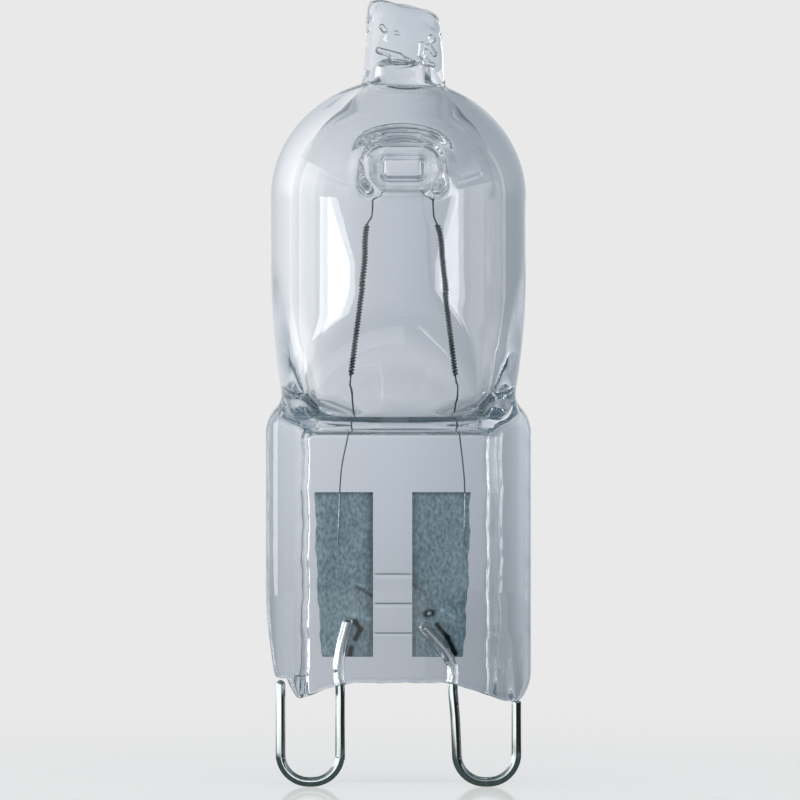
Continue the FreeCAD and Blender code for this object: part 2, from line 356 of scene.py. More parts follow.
def rib_field(x, y, z):
    """Fine press ribs on the front of the web."""
    front = -web_half_depth - rib_offset
    ribs = None
    for height in rib_heights:
        rib = rod_field(x, y, z, (rib_ends[0], front, height), (rib_ends[1], front, height), rib_radius)
        ribs = rib if ribs is None else np.minimum(ribs, rib)
    return ribs


def stub_field(x, y, z):
    """Tapered exhaust stub with a slanting, melted tip."""
    angle = np.arctan2(y, x - stub_x)
    up = z - stub_foot_z
    wobble = stub_wobble[0] * np.sin(2 * angle + 0.9 * z) + stub_wobble[1] * np.sin(5 * angle - 2.6 * z)
    radius = stub_radius - stub_taper * up + wobble * np.clip(up / 3, 0, 1)
    dimples = stub_dimples * np.sin(6.2 * x + 2.0) * np.sin(5.3 * z + 1.4 * y)
    side = np.sqrt((x - stub_x) ** 2 + y * y) - radius
    side = side + dimples * np.clip((up - 1) / 1.5, 0, 1)
    lumps = stub_lumps * np.sin(2.3 * x + 0.5) * np.cos(1.9 * y)
    top = (z - stub_top_z + stub_top_slope * (x - stub_tip_x) - lumps) / math.hypot(1, stub_top_slope)
    stub = blend_max(side, top, stub_tip_fillet)
    return np.maximum(stub, stub_foot_z - stub_overlap - z)


def flare_share(z):
    """Share of the dents' sideways flare at a height: none at their foot, all of it near their top."""
    rise = np.clip((z - flare_foot_z) / flare_rise, 0, 1)
    return rise * rise * (3 - 2 * rise)


def dent_spread(deep, z):
    """How much wider a dent is at a distance out from its end."""
    return dent_draft[0] * deep + dent_flare[0] * flare_share(z) * deep ** 2


def dent_field(x, y, z):
    """Slots with rounded corners, pressed in from the front and the rear."""
    depth = np.abs(y) - dent_web / 2
    deep = np.maximum(depth, 0)
    width = dent_half[0] + dent_spread(deep, z)
    height = dent_half[1] + dent_draft[1] * deep + dent_flare[1] * deep ** 2
    slot = rounded_box(x - upper_x, z - dent_z, width, height, dent_corner + dent_corner_growth * deep)
    return blend_max(dent_steepness * slot, -depth, dent_end_fillet)


def dimple_sink(x, z):
    """How far the wall sinks in round the dents."""
    reach = np.hypot((x - upper_x) / dimple_half[0], np.maximum(z - dimple_z, 0) / dimple_half[1])
    inside = np.clip((1 - reach) / dimple_rim, 0, 1)
    fade = np.clip((z - dimple_foot_z) / dimple_fade, 0, 1)
    return dimple_depth * inside * inside * (3 - 2 * inside) * fade * fade * (3 - 2 * fade)


def pillar_field(x, y, z):
    """Glass between and round the dents, with an even wall beside them."""
    width = pillar_half[0] + dent_spread(np.maximum(np.abs(y) - dent_web / 2, 0), z)
    bow = pillar_arch * flare_share(z) * np.minimum(np.abs(x - upper_x), width) ** 2
    height = pillar_half[1] + flare_share(z) * (pillar_saddle[1] * y * y - pillar_saddle[0])
    return rounded_box(x - upper_x, z - pillar_z + bow, width, height, pillar_corner)


def vent_field(x, y, z):
    """Bore of the stub, which was melted shut to a crumpled end."""
    bore = np.sqrt((x - stub_x) ** 2 + y * y) - vent_radius
    bore = np.maximum(bore, z - vent_top_z - vent_slope * (x - stub_x))
    bore = np.maximum(bore, vent_foot_z - z)
    crown = egg(x, y, z, vent_crown_centre, vent_crown_half)
    return blend_min(bore, crown, vent_crown_fillet)


def bubble_field(x, y, z):
    """Gas trapped where the stub folded as it was melted off."""
    # Start, end and radius of each fold
    folds = [
        ((-0.95, -1.3, 33.1), (0.1, -1.35, 32.8), 0.19),
        ((1.05, -1.0, 33.4), (1.05, -1.0, 32.85), 0.16),
        ((1.05, -1.0, 32.85), (1.3, -0.95, 32.45), 0.16),
        ((1.3, -0.95, 32.45), (1.6, -0.85, 32.35), 0.14),
        ((1.35, -0.8, 33.3), (1.65, -0.7, 32.9), 0.17),
        ((-0.7, -0.9, 34.3), (-0.55, -0.9, 34.1), 0.13),
        ((-0.1, -1.0, 34.02), (-0.02, -1.0, 33.95), 0.14),
        ((1.45, -0.7, 33.75), (1.55, -0.7, 33.65), 0.19),
    ]
    gas = egg(x, y, z, (0.17, -1.35, 32.6), (0.52, 0.28, 0.2))
    for start, end, radius in folds:
        gas = blend_min(gas, rod_field(x, y, z, start, end, radius), bubble_fillet)
    return gas


def lead_lines():
    """Centre lines of the two terminal wires from the foot of the glass to their welds."""
    left = [(-2.98, 0, 0.5), (-3.06, 0, 1.9), (-2.9, 0, 2.9), (-2.6, 0, 4.0)]
    right = [(2.78, 0, 0.5), (2.76, 0, 1.75), (2.35, 0, 2.55), (1.33, 0, 3.7)]
    return left, right


def channel_field(x, y, z):
    """Thin gap round each terminal wire in the glass."""
    room = None
    for route in lead_lines():
        for start, end in zip(route, route[1:]):
            run = rod_field(x, y, z, start, end, wire_radius + channel_gap)
            room = run if room is None else np.minimum(room, run)
    return room


def outer_field(x, y, z):
    """Outside of the envelope."""
    bulb = bulb_field(x, y, z) + dimple_sink(x, z)
    body = blend_min(bulb, pinch_field(x, y, z), bulb_pinch_fillet)
    body = blend_max(body, -web_field(x, y, z), web_edge_fillet)
    body = blend_max(body, -foot_cuts(x, y, z), foot_cut_fillet)
    body = blend_max(body, -groove_field(x, y, z), groove_fillet)
    body = blend_min(body, rib_field(x, y, z), rib_fillet)
    body = blend_min(body, stub_field(x, y, z), stub_root_fillet)
    return blend_max(body, -dent_field(x, y, z), dent_mouth_fillet)


def hollow_field(x, y, z):
    """Gas space inside the envelope."""
    space = domed_tube(x, y, z, bulb_radius - bulb_wall, dome_height - bulb_wall)
    level = z - slit_z + slit_sag * (1 - (x / slit_half[0]) ** 2)
    inner_half_depth = closing_half_depth - bulb_wall / math.cos(closing_slope)
    front = slope_field(np.abs(y) - inner_half_depth, z - closing_z, closing_slope)
    trough_y = np.abs(y) - trough_share * slit_half[1]
    trough = slope_field(trough_y, level - trough_share * slit_half[2], shelf_slope)
    side = slope_field(np.abs(x) - slit_half[0], z - slit_z, slit_side_slope)
    space = blend_max(space, front, inner_closing_fillet)
    space = blend_max(space, trough, trough_fillet)
    slit = rounded_box(y, level, slit_half[1], slit_half[2], slit_corner_share * slit_half[1])
    space = blend_min(space, np.maximum(slit, np.abs(x) - slit_half[0]), slit_fillet)
    space = blend_max(space, side, inner_side_fillet)
    space = blend_max(space, -pillar_field(x, y, z), pillar_fillet)
    space = blend_min(space, vent_field(x, y, z), vent_mouth_fillet)
    return np.minimum(space, channel_field(x, y, z))


def glass_field(x, y, z):
    """Quartz of the envelope, negative inside the glass."""
    return np.maximum(outer_field(x, y, z), -hollow_field(x, y, z))


def grid_lines(low, high, step, zones):
    """Grid coordinates from low to high, finer inside the zones."""
    lines = [low]
    while lines[-1] < high:
        here = [step] + [fine for start, end, fine in zones if start <= lines[-1] < end]
        lines.append(lines[-1] + min(here))
    return np.array(lines)


def along(axis, line):
    """A grid line as an array that lies along one axis of the grid."""
    shape = [1, 1, 1]
    shape[axis] = -1
    return line.reshape(shape)


def cut(axis, start, end):
    """Index of a slab of the grid."""
    index = [slice(None)] * 3
    index[axis] = slice(start, end)
    return tuple(index)


def surface_net(field, lines):
    """Vertices and quads of the surface where a field is zero: one vertex in each cell that it crosses."""
    grid = field(*[along(axis, line) for axis, line in enumerate(lines)])
    inside = grid < 0
    cells = tuple(n - 1 for n in grid.shape)
    total = np.zeros((3,) + cells)
    count = np.zeros(cells)
    crossings = []
    for axis in range(3):
        low = grid[cut(axis, None, -1)]
        high = grid[cut(axis, 1, None)]
        crossed = inside[cut(axis, None, -1)] != inside[cut(axis, 1, None)]
        crossings.append(crossed)
        share = np.where(crossed, low / np.where(crossed, low - high, 1), 0)
        u, v = (axis + 1) % 3, (axis + 2) % 3
        for shift_u in (0, 1):
            for shift_v in (0, 1):
                pick = [slice(None)] * 3
                pick[u] = slice(shift_u, cells[u] + shift_u)
                pick[v] = slice(shift_v, cells[v] + shift_v)
                here = crossed[tuple(pick)]
                count += here
                start = along(axis, lines[axis][:-1])
                span = along(axis, np.diff(lines[axis]))
                total[axis] += here * (start + share[tuple(pick)] * span)
                for other, shift in ((u, shift_u), (v, shift_v)):
                    line = lines[other][shift:cells[other] + shift]
                    total[other] += here * along(other, line)
    active = count > 0
    vertices = (total[:, active] / count[active]).T
    number = np.full(cells, -1)
    number[active] = np.arange(len(vertices))
    quads = []
    for axis, crossed in enumerate(crossings):
        u, v = (axis + 1) % 3, (axis + 2) % 3
        places = np.argwhere(crossed)
        for side in (u, v):
            places = places[(places[:, side] > 0) & (places[:, side] < cells[side])]
        corners = []
        for shift_u, shift_v in ((1, 1), (0, 1), (0, 0), (1, 0)):
            cell = places.copy()
            cell[:, u] -= shift_u
            cell[:, v] -= shift_v
            corners.append(number[tuple(cell.T)])
        faces = np.stack(corners, axis=1)
        outward = inside[tuple(places.T)]
        quads.append(np.where(outward[:, None], faces, faces[:, ::-1]))
    return vertices, np.concatenate(quads)


def slopes(field, points, step=0.01):
    """Gradient of a field at points."""
    columns = []
    for axis in range(3):
        ahead = points.copy()
        behind = points.copy()
        ahead[:, axis] += step
        behind[:, axis] -= step
        columns.append((field(*ahead.T) - field(*behind.T)) / (2 * step))
    return np.stack(columns, axis=1)


def settle(field, points, rounds=4, reach=0.08):
    """Points moved onto the surface of a field, and its normals there."""
    for _ in range(rounds):
        slope = slopes(field, points)
        steep = np.maximum((slope ** 2).sum(axis=1), 0.05)
        step = np.clip(field(*points.T) / steep, -reach, reach)
        points = points - slope * step[:, None]
    slope = slopes(field, points)
    return points, slope / np.maximum(np.linalg.norm(slope, axis=1), 1e-6)[:, None]


def mesh_object(name, vertices, faces, material, normals=None):
    """Smooth mesh object from vertices in millimetres."""
    mesh = bpy.data.meshes.new(name)
    mesh.from_pydata((np.asarray(vertices) * MM).tolist(), [], [list(face) for face in faces])
    mesh.shade_smooth()
    if normals is not None:
        mesh.normals_split_custom_set_from_vertices(normals.tolist())
    mesh.materials.append(material)
    made = bpy.data.objects.new(name, mesh)
    bpy.context.scene.collection.objects.link(made)
    return made


def fitted(piece, node):
    """Hide the CAD node that a piece stands for, and let the piece ride on the part."""
    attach(piece, "root")
    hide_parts(node)


def spline(points, step):
    """Smooth line through points, sampled about every step."""
    points = np.asarray(points, float)
    padded = np.vstack([2 * points[0] - points[1], points, 2 * points[-1] - points[-2]])
    line = []
    for before, start, end, after in zip(padded, padded[1:], padded[2:], padded[3:]):
        samples = max(2, int(np.linalg.norm(end - start) / step))
        t = np.linspace(0, 1, samples, endpoint=False)[:, None]
        bend = 2 * before - 5 * start + 4 * end - after
        twist = 3 * start - before - 3 * end + after
        line.append(0.5 * (2 * start + (end - before) * t + bend * t ** 2 + twist * t ** 3))
    return np.vstack(line + [points[-1:]])


def tube(line, radius, sides):
    """Vertices and faces of a closed tube along a line, with a radius for each point or for all."""
    line = np.asarray(line, float)
    radius = np.broadcast_to(radius, len(line))
    ahead = np.gradient(line, axis=0)
    ahead /= np.linalg.norm(ahead, axis=1)[:, None]
    normal = np.cross(ahead[0], (0.3, 0.9, 0.2))
    angles = np.linspace(0, 2 * math.pi, sides, endpoint=False)
    vertices = []
    for point, heading, size in zip(line, ahead, radius):
        normal = normal - heading * (normal @ heading)
        normal /= np.linalg.norm(normal)
        binormal = np.cross(heading, normal)
        ring = np.cos(angles)[:, None] * normal + np.sin(angles)[:, None] * binormal
        vertices.append(point + size * ring)
    faces = []
    for low in range(0, (len(line) - 1) * sides, sides):
        high = low + sides
        for side in range(sides):
            after = (side + 1) % sides
            faces.append((low + side, low + after, high + after, high + side))
    last = (len(line) - 1) * sides
    faces.append(tuple(range(sides))[::-1])
    faces.append(tuple(range(last, last + sides)))
    return np.vstack(vertices), faces


def distance_along(line):
    """Distance from the start of a line to each of its points."""
    return np.concatenate([[0], np.cumsum(np.linalg.norm(np.diff(line, axis=0), axis=1))])


def arc(centre, radius, start_deg, end_deg, count):
    """Points on an arc in the XZ plane."""
    angles = np.radians(np.linspace(start_deg, end_deg, count))
    return [(centre[0] + radius * math.cos(a), 0, centre[1] + radius * math.sin(a)) for a in angles]


# Materials
def material(name):
    """New material and its nodes, links and shader."""
    made = bpy.data.materials.new(name)
    made.use_nodes = True
    nodes = made.node_tree.nodes
    return made, nodes, made.node_tree.links, nodes["Principled BSDF"]


def noise(nodes, links, scale, detail, stretch=(1, 1, 1)):
    """Noise in object space, stretched along the axes."""
    place = nodes.new("ShaderNodeTexCoord")
    mapping = nodes.new("ShaderNodeMapping")
    mapping.inputs["Scale"].default_value = stretch
    texture = nodes.new("ShaderNodeTexNoise")
    texture.inputs["Scale"].default_value = scale
    texture.inputs["Detail"].default_value = detail
    links.new(place.outputs["Object"], mapping.inputs["Vector"])
    links.new(mapping.outputs["Vector"], texture.inputs["Vector"])
    return texture.outputs["Fac"]


def ramp(nodes, links, value, stops):
    """Colour ramp on a value."""
    made = nodes.new("ShaderNodeValToRGB")
    elements = made.color_ramp.elements
    elements[0].position, elements[0].color = stops[0][0], (*stops[0][1], 1)
    elements[1].position, elements[1].color = stops[-1][0], (*stops[-1][1], 1)
    for position, colour in stops[1:-1]:
        elements.new(position).color = (*colour, 1)
    links.new(value, made.inputs["Fac"])
    return made.outputs["Color"]


def product(nodes, links, first, second):
    """Product of two colours."""
    made = nodes.new("ShaderNodeVectorMath")
    made.operation = "MULTIPLY"
    links.new(first, made.inputs[0])
    links.new(second, made.inputs[1])
    return made.outputs["Vector"]


def mixed(nodes, links, amount, first, second):
    """Shader that goes from the first to the second as an amount rises to 1."""
    made = nodes.new("ShaderNodeMixShader")
    links.new(amount, made.inputs["Fac"])
    links.new(first, made.inputs[1])
    links.new(second, made.inputs[2])
    return made.outputs["Shader"]


def map_range(nodes, links, value, low, high, at_low=0.0, at_high=1.0, smooth=False):
    """Value that runs from at_low to at_high while another one goes from low to high."""
    made = nodes.new("ShaderNodeMapRange")
    if smooth:
        made.interpolation_type = "SMOOTHSTEP"
    made.inputs["From Min"].default_value = low
    made.inputs["From Max"].default_value = high
    made.inputs["To Min"].default_value = at_low
    made.inputs["To Max"].default_value = at_high
    links.new(value, made.inputs["Value"])
    return made.outputs["Result"]


def place_axes(nodes, links, kind):
    """X, Y and Z of a kind of texture coordinate."""
    place = nodes.new("ShaderNodeTexCoord")
    axes = nodes.new("ShaderNodeSeparateXYZ")
    links.new(place.outputs[kind], axes.inputs["Vector"])
    return axes.outputs


def emission_material(name):
    """New material that only shines, with its nodes, links and emission."""
    made, nodes, links, _ = material(name)
    glow = nodes.new("ShaderNodeEmission")
    links.new(glow.outputs["Emission"], nodes["Material Output"].inputs["Surface"])
    return made, nodes, links, glow


def bump(nodes, links, value, strength, distance):
    """Bump from a value, on a scale of distance in metres."""
    made = nodes.new("ShaderNodeBump")
    made.inputs["Strength"].default_value = strength
    made.inputs["Distance"].default_value = distance
    links.new(value, made.inputs["Height"])
    return made.outputs["Normal"]


def quartz_material():
    """Clear fused quartz with a faint blue-grey body and slight draw lines."""
    made, nodes, links, shader = material("quartz")
    shader.inputs["Base Color"].default_value = (1, 1, 1, 1)
    shader.inputs["Roughness"].default_value = 0.0
    shader.inputs["IOR"].default_value = 1.46
    shader.inputs["Transmission Weight"].default_value = 1.0
    lines = noise(nodes, links, scale=260, detail=2, stretch=(1, 1, 0.15))
    links.new(bump(nodes, links, lines, strength=0.008, distance=0.0004), shader.inputs["Normal"])
    clear = nodes.new("ShaderNodeBsdfTransparent")
    path = nodes.new("ShaderNodeLightPath")
    look = mixed(nodes, links, path.outputs["Is Shadow Ray"], shader.outputs["BSDF"], clear.outputs["BSDF"])
    output = nodes["Material Output"]
    links.new(look, output.inputs["Surface"])
    body = nodes.new("ShaderNodeVolumeAbsorption")
    body.inputs["Color"].default_value = (0.2, 0.4, 0.5, 1)
    body.inputs["Density"].default_value = 25.0
    links.new(body.outputs["Volume"], output.inputs["Volume"])
    return made


def tungsten_material():
    """Drawn tungsten wire, dull and dark, with a painted highlight that brightens it where it lies on the
    foils.
    """
    made, nodes, links, shader = material("tungsten")
    grain = noise(nodes, links, scale=9000, detail=3)
    dull = ramp(nodes, links, grain, [(0.3, (0.03, 0.045, 0.046)), (0.7, (0.11, 0.145, 0.145))])
    # Painted highlight: the base colour is multiplied up over the height of the foils, where the wire lies
    # on them
    axes = place_axes(nodes, links, "Object")
    height = map_range(nodes, links, axes["Z"], foil_low[2] * MM, foil_high[2] * MM)
    stops = [
        (0.76, (3.0, 3.0, 3.0)),
        (0.8, (8.0, 7.0, 7.0)),
        (0.985, (8.0, 7.0, 7.0)),
        (1.0, (1.0, 1.0, 1.0)),
    ]
    painted_highlight = ramp(nodes, links, height, stops)
    links.new(product(nodes, links, dull, painted_highlight), shader.inputs["Base Color"])
    shader.inputs["Metallic"].default_value = 0.9
    shader.inputs["Roughness"].default_value = 0.42
    links.new(bump(nodes, links, grain, strength=0.3, distance=0.00001), shader.inputs["Normal"])
    return made


def foil_material():
    """Thin molybdenum, etched and creased, with painted shade and painted highlights from its tone
    attribute.
    """
    made, nodes, links, shader = material("molybdenum")
    grain = noise(nodes, links, scale=6800, detail=9, stretch=(1, 1, 0.6))
    stops = [(0.28, (0.16, 0.235, 0.265)), (0.5, (0.3, 0.41, 0.46)), (0.72, (0.47, 0.58, 0.63))]
    metal = ramp(nodes, links, grain, stops)
    # Painted light and shade from the foil's tone attribute: below the middle it darkens the metal, above
    # it brightens it past white
    marks_and_painted_light = nodes.new("ShaderNodeAttribute")
    marks_and_painted_light.attribute_name = "tone"
    stops = [(0.0, (0.02, 0.03, 0.03)), (0.5, (0.9, 0.9, 0.9)), (1.0, (2.2, 2.2, 2.2))]
    painted_light_and_shade = ramp(nodes, links, marks_and_painted_light.outputs["Fac"], stops)
    links.new(product(nodes, links, metal, painted_light_and_shade), shader.inputs["Base Color"])
    shader.inputs["Metallic"].default_value = 0.85
    shader.inputs["Roughness"].default_value = 0.5
    creases = noise(nodes, links, scale=1700, detail=7, stretch=(1, 1, 0.6))
    links.new(bump(nodes, links, creases, strength=0.7, distance=0.00005), shader.inputs["Normal"])
    return made


def contact_material():
    """Bright plated wire with fine drawing marks."""
    made, nodes, links, shader = material("contact_wire")
    marks_and_painted_light = noise(nodes, links, scale=5000, detail=3, stretch=(1, 1, 0.08))
    stops = [(0.35, (0.62, 0.66, 0.66)), (0.65, (0.8, 0.83, 0.82))]
    links.new(ramp(nodes, links, marks_and_painted_light, stops), shader.inputs["Base Color"])
    shader.inputs["Metallic"].default_value = 1.0
    shader.inputs["Roughness"].default_value = 0.1
    links.new(bump(nodes, links, marks_and_painted_light, strength=0.06, distance=0.00002), shader.inputs["Normal"])
    return made


# Pieces
def build_envelope():
    """Quartz envelope from its field."""
    # Finer zones of the grid, as start, end and step. Across: left bead, foils and dents, right bead.
    # Front to back: the web. Up: foot, three ribs, waist, dents, stub.
    zones_x = [(-6.4, -4.2, 0.14), (-3.3, 3.6, 0.17), (4.2, 6.4, 0.14)]
    zones_y = [(-2.6, 2.6, 0.17)]
    zones_z = [
        (-0.5, 2.0, 0.14),
        (3.2, 3.6, 0.045),
        (4.7, 5.1, 0.045),
        (6.2, 6.6, 0.045),
        (13.2, 18.0, 0.13),
        (24.5, 30.0, 0.16),
        (31.3, 36.2, 0.13),
    ]
    lines = (
        grid_lines(-7.1, 7.1, 0.22, zones_x),
        grid_lines(-6.9, 6.9, 0.2, zones_y),
        grid_lines(-0.5, 36.2, 0.24, zones_z),
    )
    vertices, faces = surface_net(glass_field, lines)
    vertices, normals = settle(glass_field, vertices)
    # The bubbles have a finer grid of their own
    bubble_step = 0.06
    bubble_spans = ((-1.3, 2.0), (-1.8, -0.3), (32.0, 34.7))
    lines = [grid_lines(low, high, bubble_step, []) for low, high in bubble_spans]
    bubbles, bubble_faces = surface_net(bubble_field, lines)
    bubbles, bubble_normals = settle(bubble_field, bubbles)
    faces = np.concatenate([faces, bubble_faces[:, ::-1] + len(vertices)])
    vertices = np.concatenate([vertices, bubbles])
    normals = np.concatenate([normals, -bubble_normals])
    piece = mesh_object("envelope", vertices, faces, quartz_material(), normals)
    fitted(piece, "quartz_envelope")


def build_filament():
    """Tungsten wire from foil to foil: tail, coil, bridge, coil, tail."""
    depth = foil_low[1] - tail_lift
    left_tail = [(-3.09, 7.9), (-2.99, 10.7), (-2.88, 12.0), (-2.6, 13.4), (-2.37, 15.0), (-2.37, 16.0)]
    left_coil = [(-2.36, 16.6), (-1.98, 20.4), (-1.74, 22.3), (-1.7, 23.6), (-1.58, 24.3)]
    bridge = [(-1.36, 24.75), (-1.32, 25.9), (-1.32, 28.1), (-1.05, 28.75), (0.22, 29.05)]
    bridge += [(1.5, 28.75), (1.76, 28.1), (1.76, 25.9), (1.8, 24.75)]
    right_coil = [(1.95, 24.3), (2.16, 23.6), (2.27, 22.3), (2.49, 20.4), (2.86, 16.6)]
    right_tail = [(2.9, 16.35), (2.97, 16.05), (2.95, 15.1), (3.14, 13.3)]
    right_tail += [(3.29, 12.0), (3.38, 10.6), (3.34, 7.9)]
    route = left_tail + left_coil + bridge + right_coil + right_tail
    line = spline([(x, depth, z) for x, z in route], filament_step)
    gone = distance_along(line)
    wound = np.zeros(len(line))
    for coil in (left_coil, right_coil):
        start, end = (np.argmin(np.hypot(line[:, 0] - x, line[:, 2] - z)) for x, z in (coil[0], coil[-1]))
        rise = np.clip((gone - gone[start]) / coil_ease, 0, 1)
        fall = np.clip((gone[end] - gone) / coil_ease, 0, 1)
        wound = np.maximum(wound, rise * fall)
    turn = gone * (2 * math.pi / coil_pitch)
    ahead = np.gradient(line, axis=0)
    ahead /= np.linalg.norm(ahead, axis=1)[:, None]
    across = np.stack([-ahead[:, 2], np.zeros(len(line)), ahead[:, 0]], axis=1)
    outward = np.cos(turn)[:, None] * across + np.sin(turn)[:, None] * np.array([0, 1, 0])
    plain = np.where(line[:, 2] < slit_z, tail_radius, bridge_radius)
    radius = np.where(wound > 0, coil_wire_radius, plain)
    vertices, faces = tube(line + coil_radius * wound[:, None] * outward, radius, filament_sides)
    piece = mesh_object("filament_wire", vertices, faces, tungsten_material())
    fitted(piece, "filament")


def painted_stroke_share(x, z, start, end, width):
    """How far a point lies in a soft painted stroke on the foil (painted shade where its change is
    negative, painted highlight where positive), from 0 to 1.
    """
    run = np.subtract(end, start)
    t = np.clip(((x - start[0]) * run[0] + (z - start[1]) * run[1]) / (run @ run), 0, 1)
    gap = np.hypot(x - start[0] - t * run[0], z - start[1] - t * run[1])
    return float(np.exp(-(gap / width) ** 2))


def build_foil(node, material_made, seed, outer, painted_strokes):
    """Creased foil with feathered edges, drawn in at its outer edge, with painted shade along its inner
    edge and top and painted strokes of shade and highlight round its weld.
    """
    low, high = cad_corners(node)
    columns = foil_columns
    rows = foil_rows
    width = high[0] - low[0]
    slow_wave, fast_wave = foil_edge_waves
    random = np.random.default_rng(seed)
    waves = []
    for _ in range(foil_waves):
        waves.append((random.uniform(0.8, 3.2), random.uniform(-1.6, 1.6), random.uniform(0, 6.3)))
    sheet = []
    tones = []
    for face in (-1, 1):
        for row in range(rows + 1):
            for column in range(columns + 1):
                across = column / columns
                up = row / rows
                z = low[2] + (high[2] - low[2]) * up
                wave = slow_wave * math.sin(2.6 * z + seed) + fast_wave * math.sin(7.1 * z)
                drawn = foil_drawn_in * (1 - up) ** 2 + wave + foil_inset
                from_outer = drawn + (width - drawn) * across
                x = low[0] + from_outer if outer < 0 else high[0] - from_outer
                edge = min(across, 1 - across) * width
                # Painted shade: darker along the inner edge and near the top, plus painted strokes of shade
                # and highlight
                inward = (1 - across) * foil_width / inner_shade_reach
                tone = foil_tone - inner_shade * math.exp(-inward ** 2)
                tone -= top_shade * math.exp(-((high[2] - z) / top_shade_reach) ** 2)
                for start, end, breadth, change in painted_strokes:
                    tone += change * painted_stroke_share(x, z, start, end, breadth)
                tones.append(min(1.0, max(0.0, tone)))
                thin = foil_half_thickness * min(1, edge / foil_feather)
                crease = sum(math.sin(u * x + v * z + phase) for u, v, phase in waves) * foil_crease
                sheet.append((x, (low[1] + high[1]) / 2 + crease + face * thin, z))
    faces = []
    size = (rows + 1) * (columns + 1)
    for row in range(rows):
        for column in range(columns):
            a = row * (columns + 1) + column
            quad = (a, a + 1, a + columns + 2, a + columns + 1)
            faces.append(quad)
            faces.append(tuple(size + v for v in quad[::-1]))
    rim = list(range(columns + 1))
    rim += [row * (columns + 1) + columns for row in range(1, rows + 1)]
    rim += [rows * (columns + 1) + column for column in range(columns - 1, -1, -1)]
    rim += [row * (columns + 1) for row in range(rows - 1, 0, -1)]
    for a, b in zip(rim, rim[1:] + rim[:1]):
        faces.append((b, a, size + a, size + b))
    if outer > 0:
        faces = [face[::-1] for face in faces]
    piece = mesh_object(node + "_sheet", sheet, faces, material_made)
    # The tone attribute holds the painted light and shade for the foil material
    shade = piece.data.attributes.new("tone", "FLOAT", "POINT")
    shade.data.foreach_set("value", tones)
    fitted(piece, node)


def build_terminals():
    """Both terminal wires, each bent to a loop and welded to its foil."""
    finish = contact_material()
    left_lead, right_lead = lead_lines()
    bend_z = floor_z + wire_radius + loop_bend
    outer_centre = loop_outer_x - loop_bend
    inner_centre = loop_inner_x + loop_bend
    left = [(-loop_outer_x, 0, z) for z in left_end_heights]
    left += arc((-outer_centre, bend_z), loop_bend, 180, 270, loop_points)
    left += arc((-inner_centre, bend_z), loop_bend, 270, 360, loop_points)
    left += [(lead_foot_x[0], 0, lead_foot_z)] + left_lead
    right = [(loop_outer_x, 0, z) for z in right_end_heights]
    right += arc((outer_centre, bend_z), loop_bend, 0, -90, loop_points)
    right += arc((inner_centre, bend_z), loop_bend, 270, 180, loop_points)
    right += [(lead_foot_x[1], 0, lead_foot_z)] + right_lead
    wires = (("terminal_left", left, wire_radius), ("terminal_right", right, right_end_rounding))
    for node, route, rounding in wires:
        line = spline(route, wire_step)
        short = 1 - np.clip(distance_along(line) / rounding, 0.03, 1)
        radius = wire_radius - rounding * (1 - np.sqrt(1 - short ** 2))
        vertices, faces = tube(line, radius, wire_sides)
        piece = mesh_object(node + "_wire", vertices, faces, finish)
        fitted(piece, node)


# Stage
GROUND = 0.815
floor_reach = 90.0
floor_polish = 0.4
floor_fade = (10.0, 0.9 * floor_reach)
floor_glow = 0.6
polished_centre = (0.0, -13.0, floor_z)
polished_reach = (8.0, 17.0)
strip_reach = 28.0
strip_heights = (floor_z + 0.05, 4.5)
lamp_aim_z = 20.0
picture_width = 800
pixels_per_mm = 19.6
camera_distance = 480.0
camera_elevation = math.radians(1.2)
camera_aim = (0.077, 0.0, 15.3)

# Tones of the studio as stops of colour ramps: place and colour
MIRRORED = [(0.0, (1.0, 1.0, 1.0)), (0.45, (0.75, 0.78, 0.8)),
            (0.7, (0.4, 0.44, 0.48)), (1.0, (0.3, 0.34, 0.37))]
SEEN_THROUGH = [(0.0, (0.95, 0.96, 1.0)), (0.35, (0.72, 0.74, 0.78)), (0.5, (0.515, 0.55, 0.6)),
                (0.7, (0.36, 0.395, 0.44)), (0.92, (0.38, 0.41, 0.45)), (0.98, (0.9, 0.92, 0.96))]
HIGH_AND_LOW = [(0.25, (1.0, 1.0, 1.0)), (0.5, (0.55, 0.6, 0.62)), (0.9, (0.07, 0.1, 0.11))]
SEEN_FLOOR = [(0.1, (0.12, 0.15, 0.17)), (0.5, (0.36, 0.4, 0.44)), (0.8, (0.5, 0.54, 0.58))]
MIRRORED_FLOOR = [(0.2, (0.06, 0.085, 0.085)), (0.8, (0.6, 0.63, 0.66))]
BACKDROP = [(0.0, (0.9, 0.92, 0.96)), (0.3, (0.74, 0.76, 0.8)), (0.43, (0.6, 0.63, 0.68)),
            (0.5, (0.5, 0.54, 0.6)), (0.56, (0.34, 0.375, 0.425)), (0.64, (0.31, 0.345, 0.39)),
            (0.92, (0.34, 0.37, 0.41)), (0.985, (0.9, 0.92, 0.96))]
BACKDROP_LEVELS = [(0.1, (0.8, 0.8, 0.8)), (0.2, (0.95, 0.95, 0.95)), (0.265, (1.02, 1.02, 1.02)),
                   (0.29, (1.2, 1.18, 1.16)), (0.32, (1.1, 1.09, 1.08)), (0.35, (0.95, 0.95, 0.95)),
                   (0.46, (1.0, 1.0, 1.0)), (0.52, (1.18, 1.17, 1.16))]
BEHIND_STUB = [(0.2, (0.54, 0.58, 0.64)), (0.5, (0.6, 0.65, 0.71)), (0.8, (0.76, 0.78, 0.82))]
STUB_LEVELS = [(0.0, (0.95, 0.95, 0.95)), (1.0, (1.0, 1.0, 1.0))]


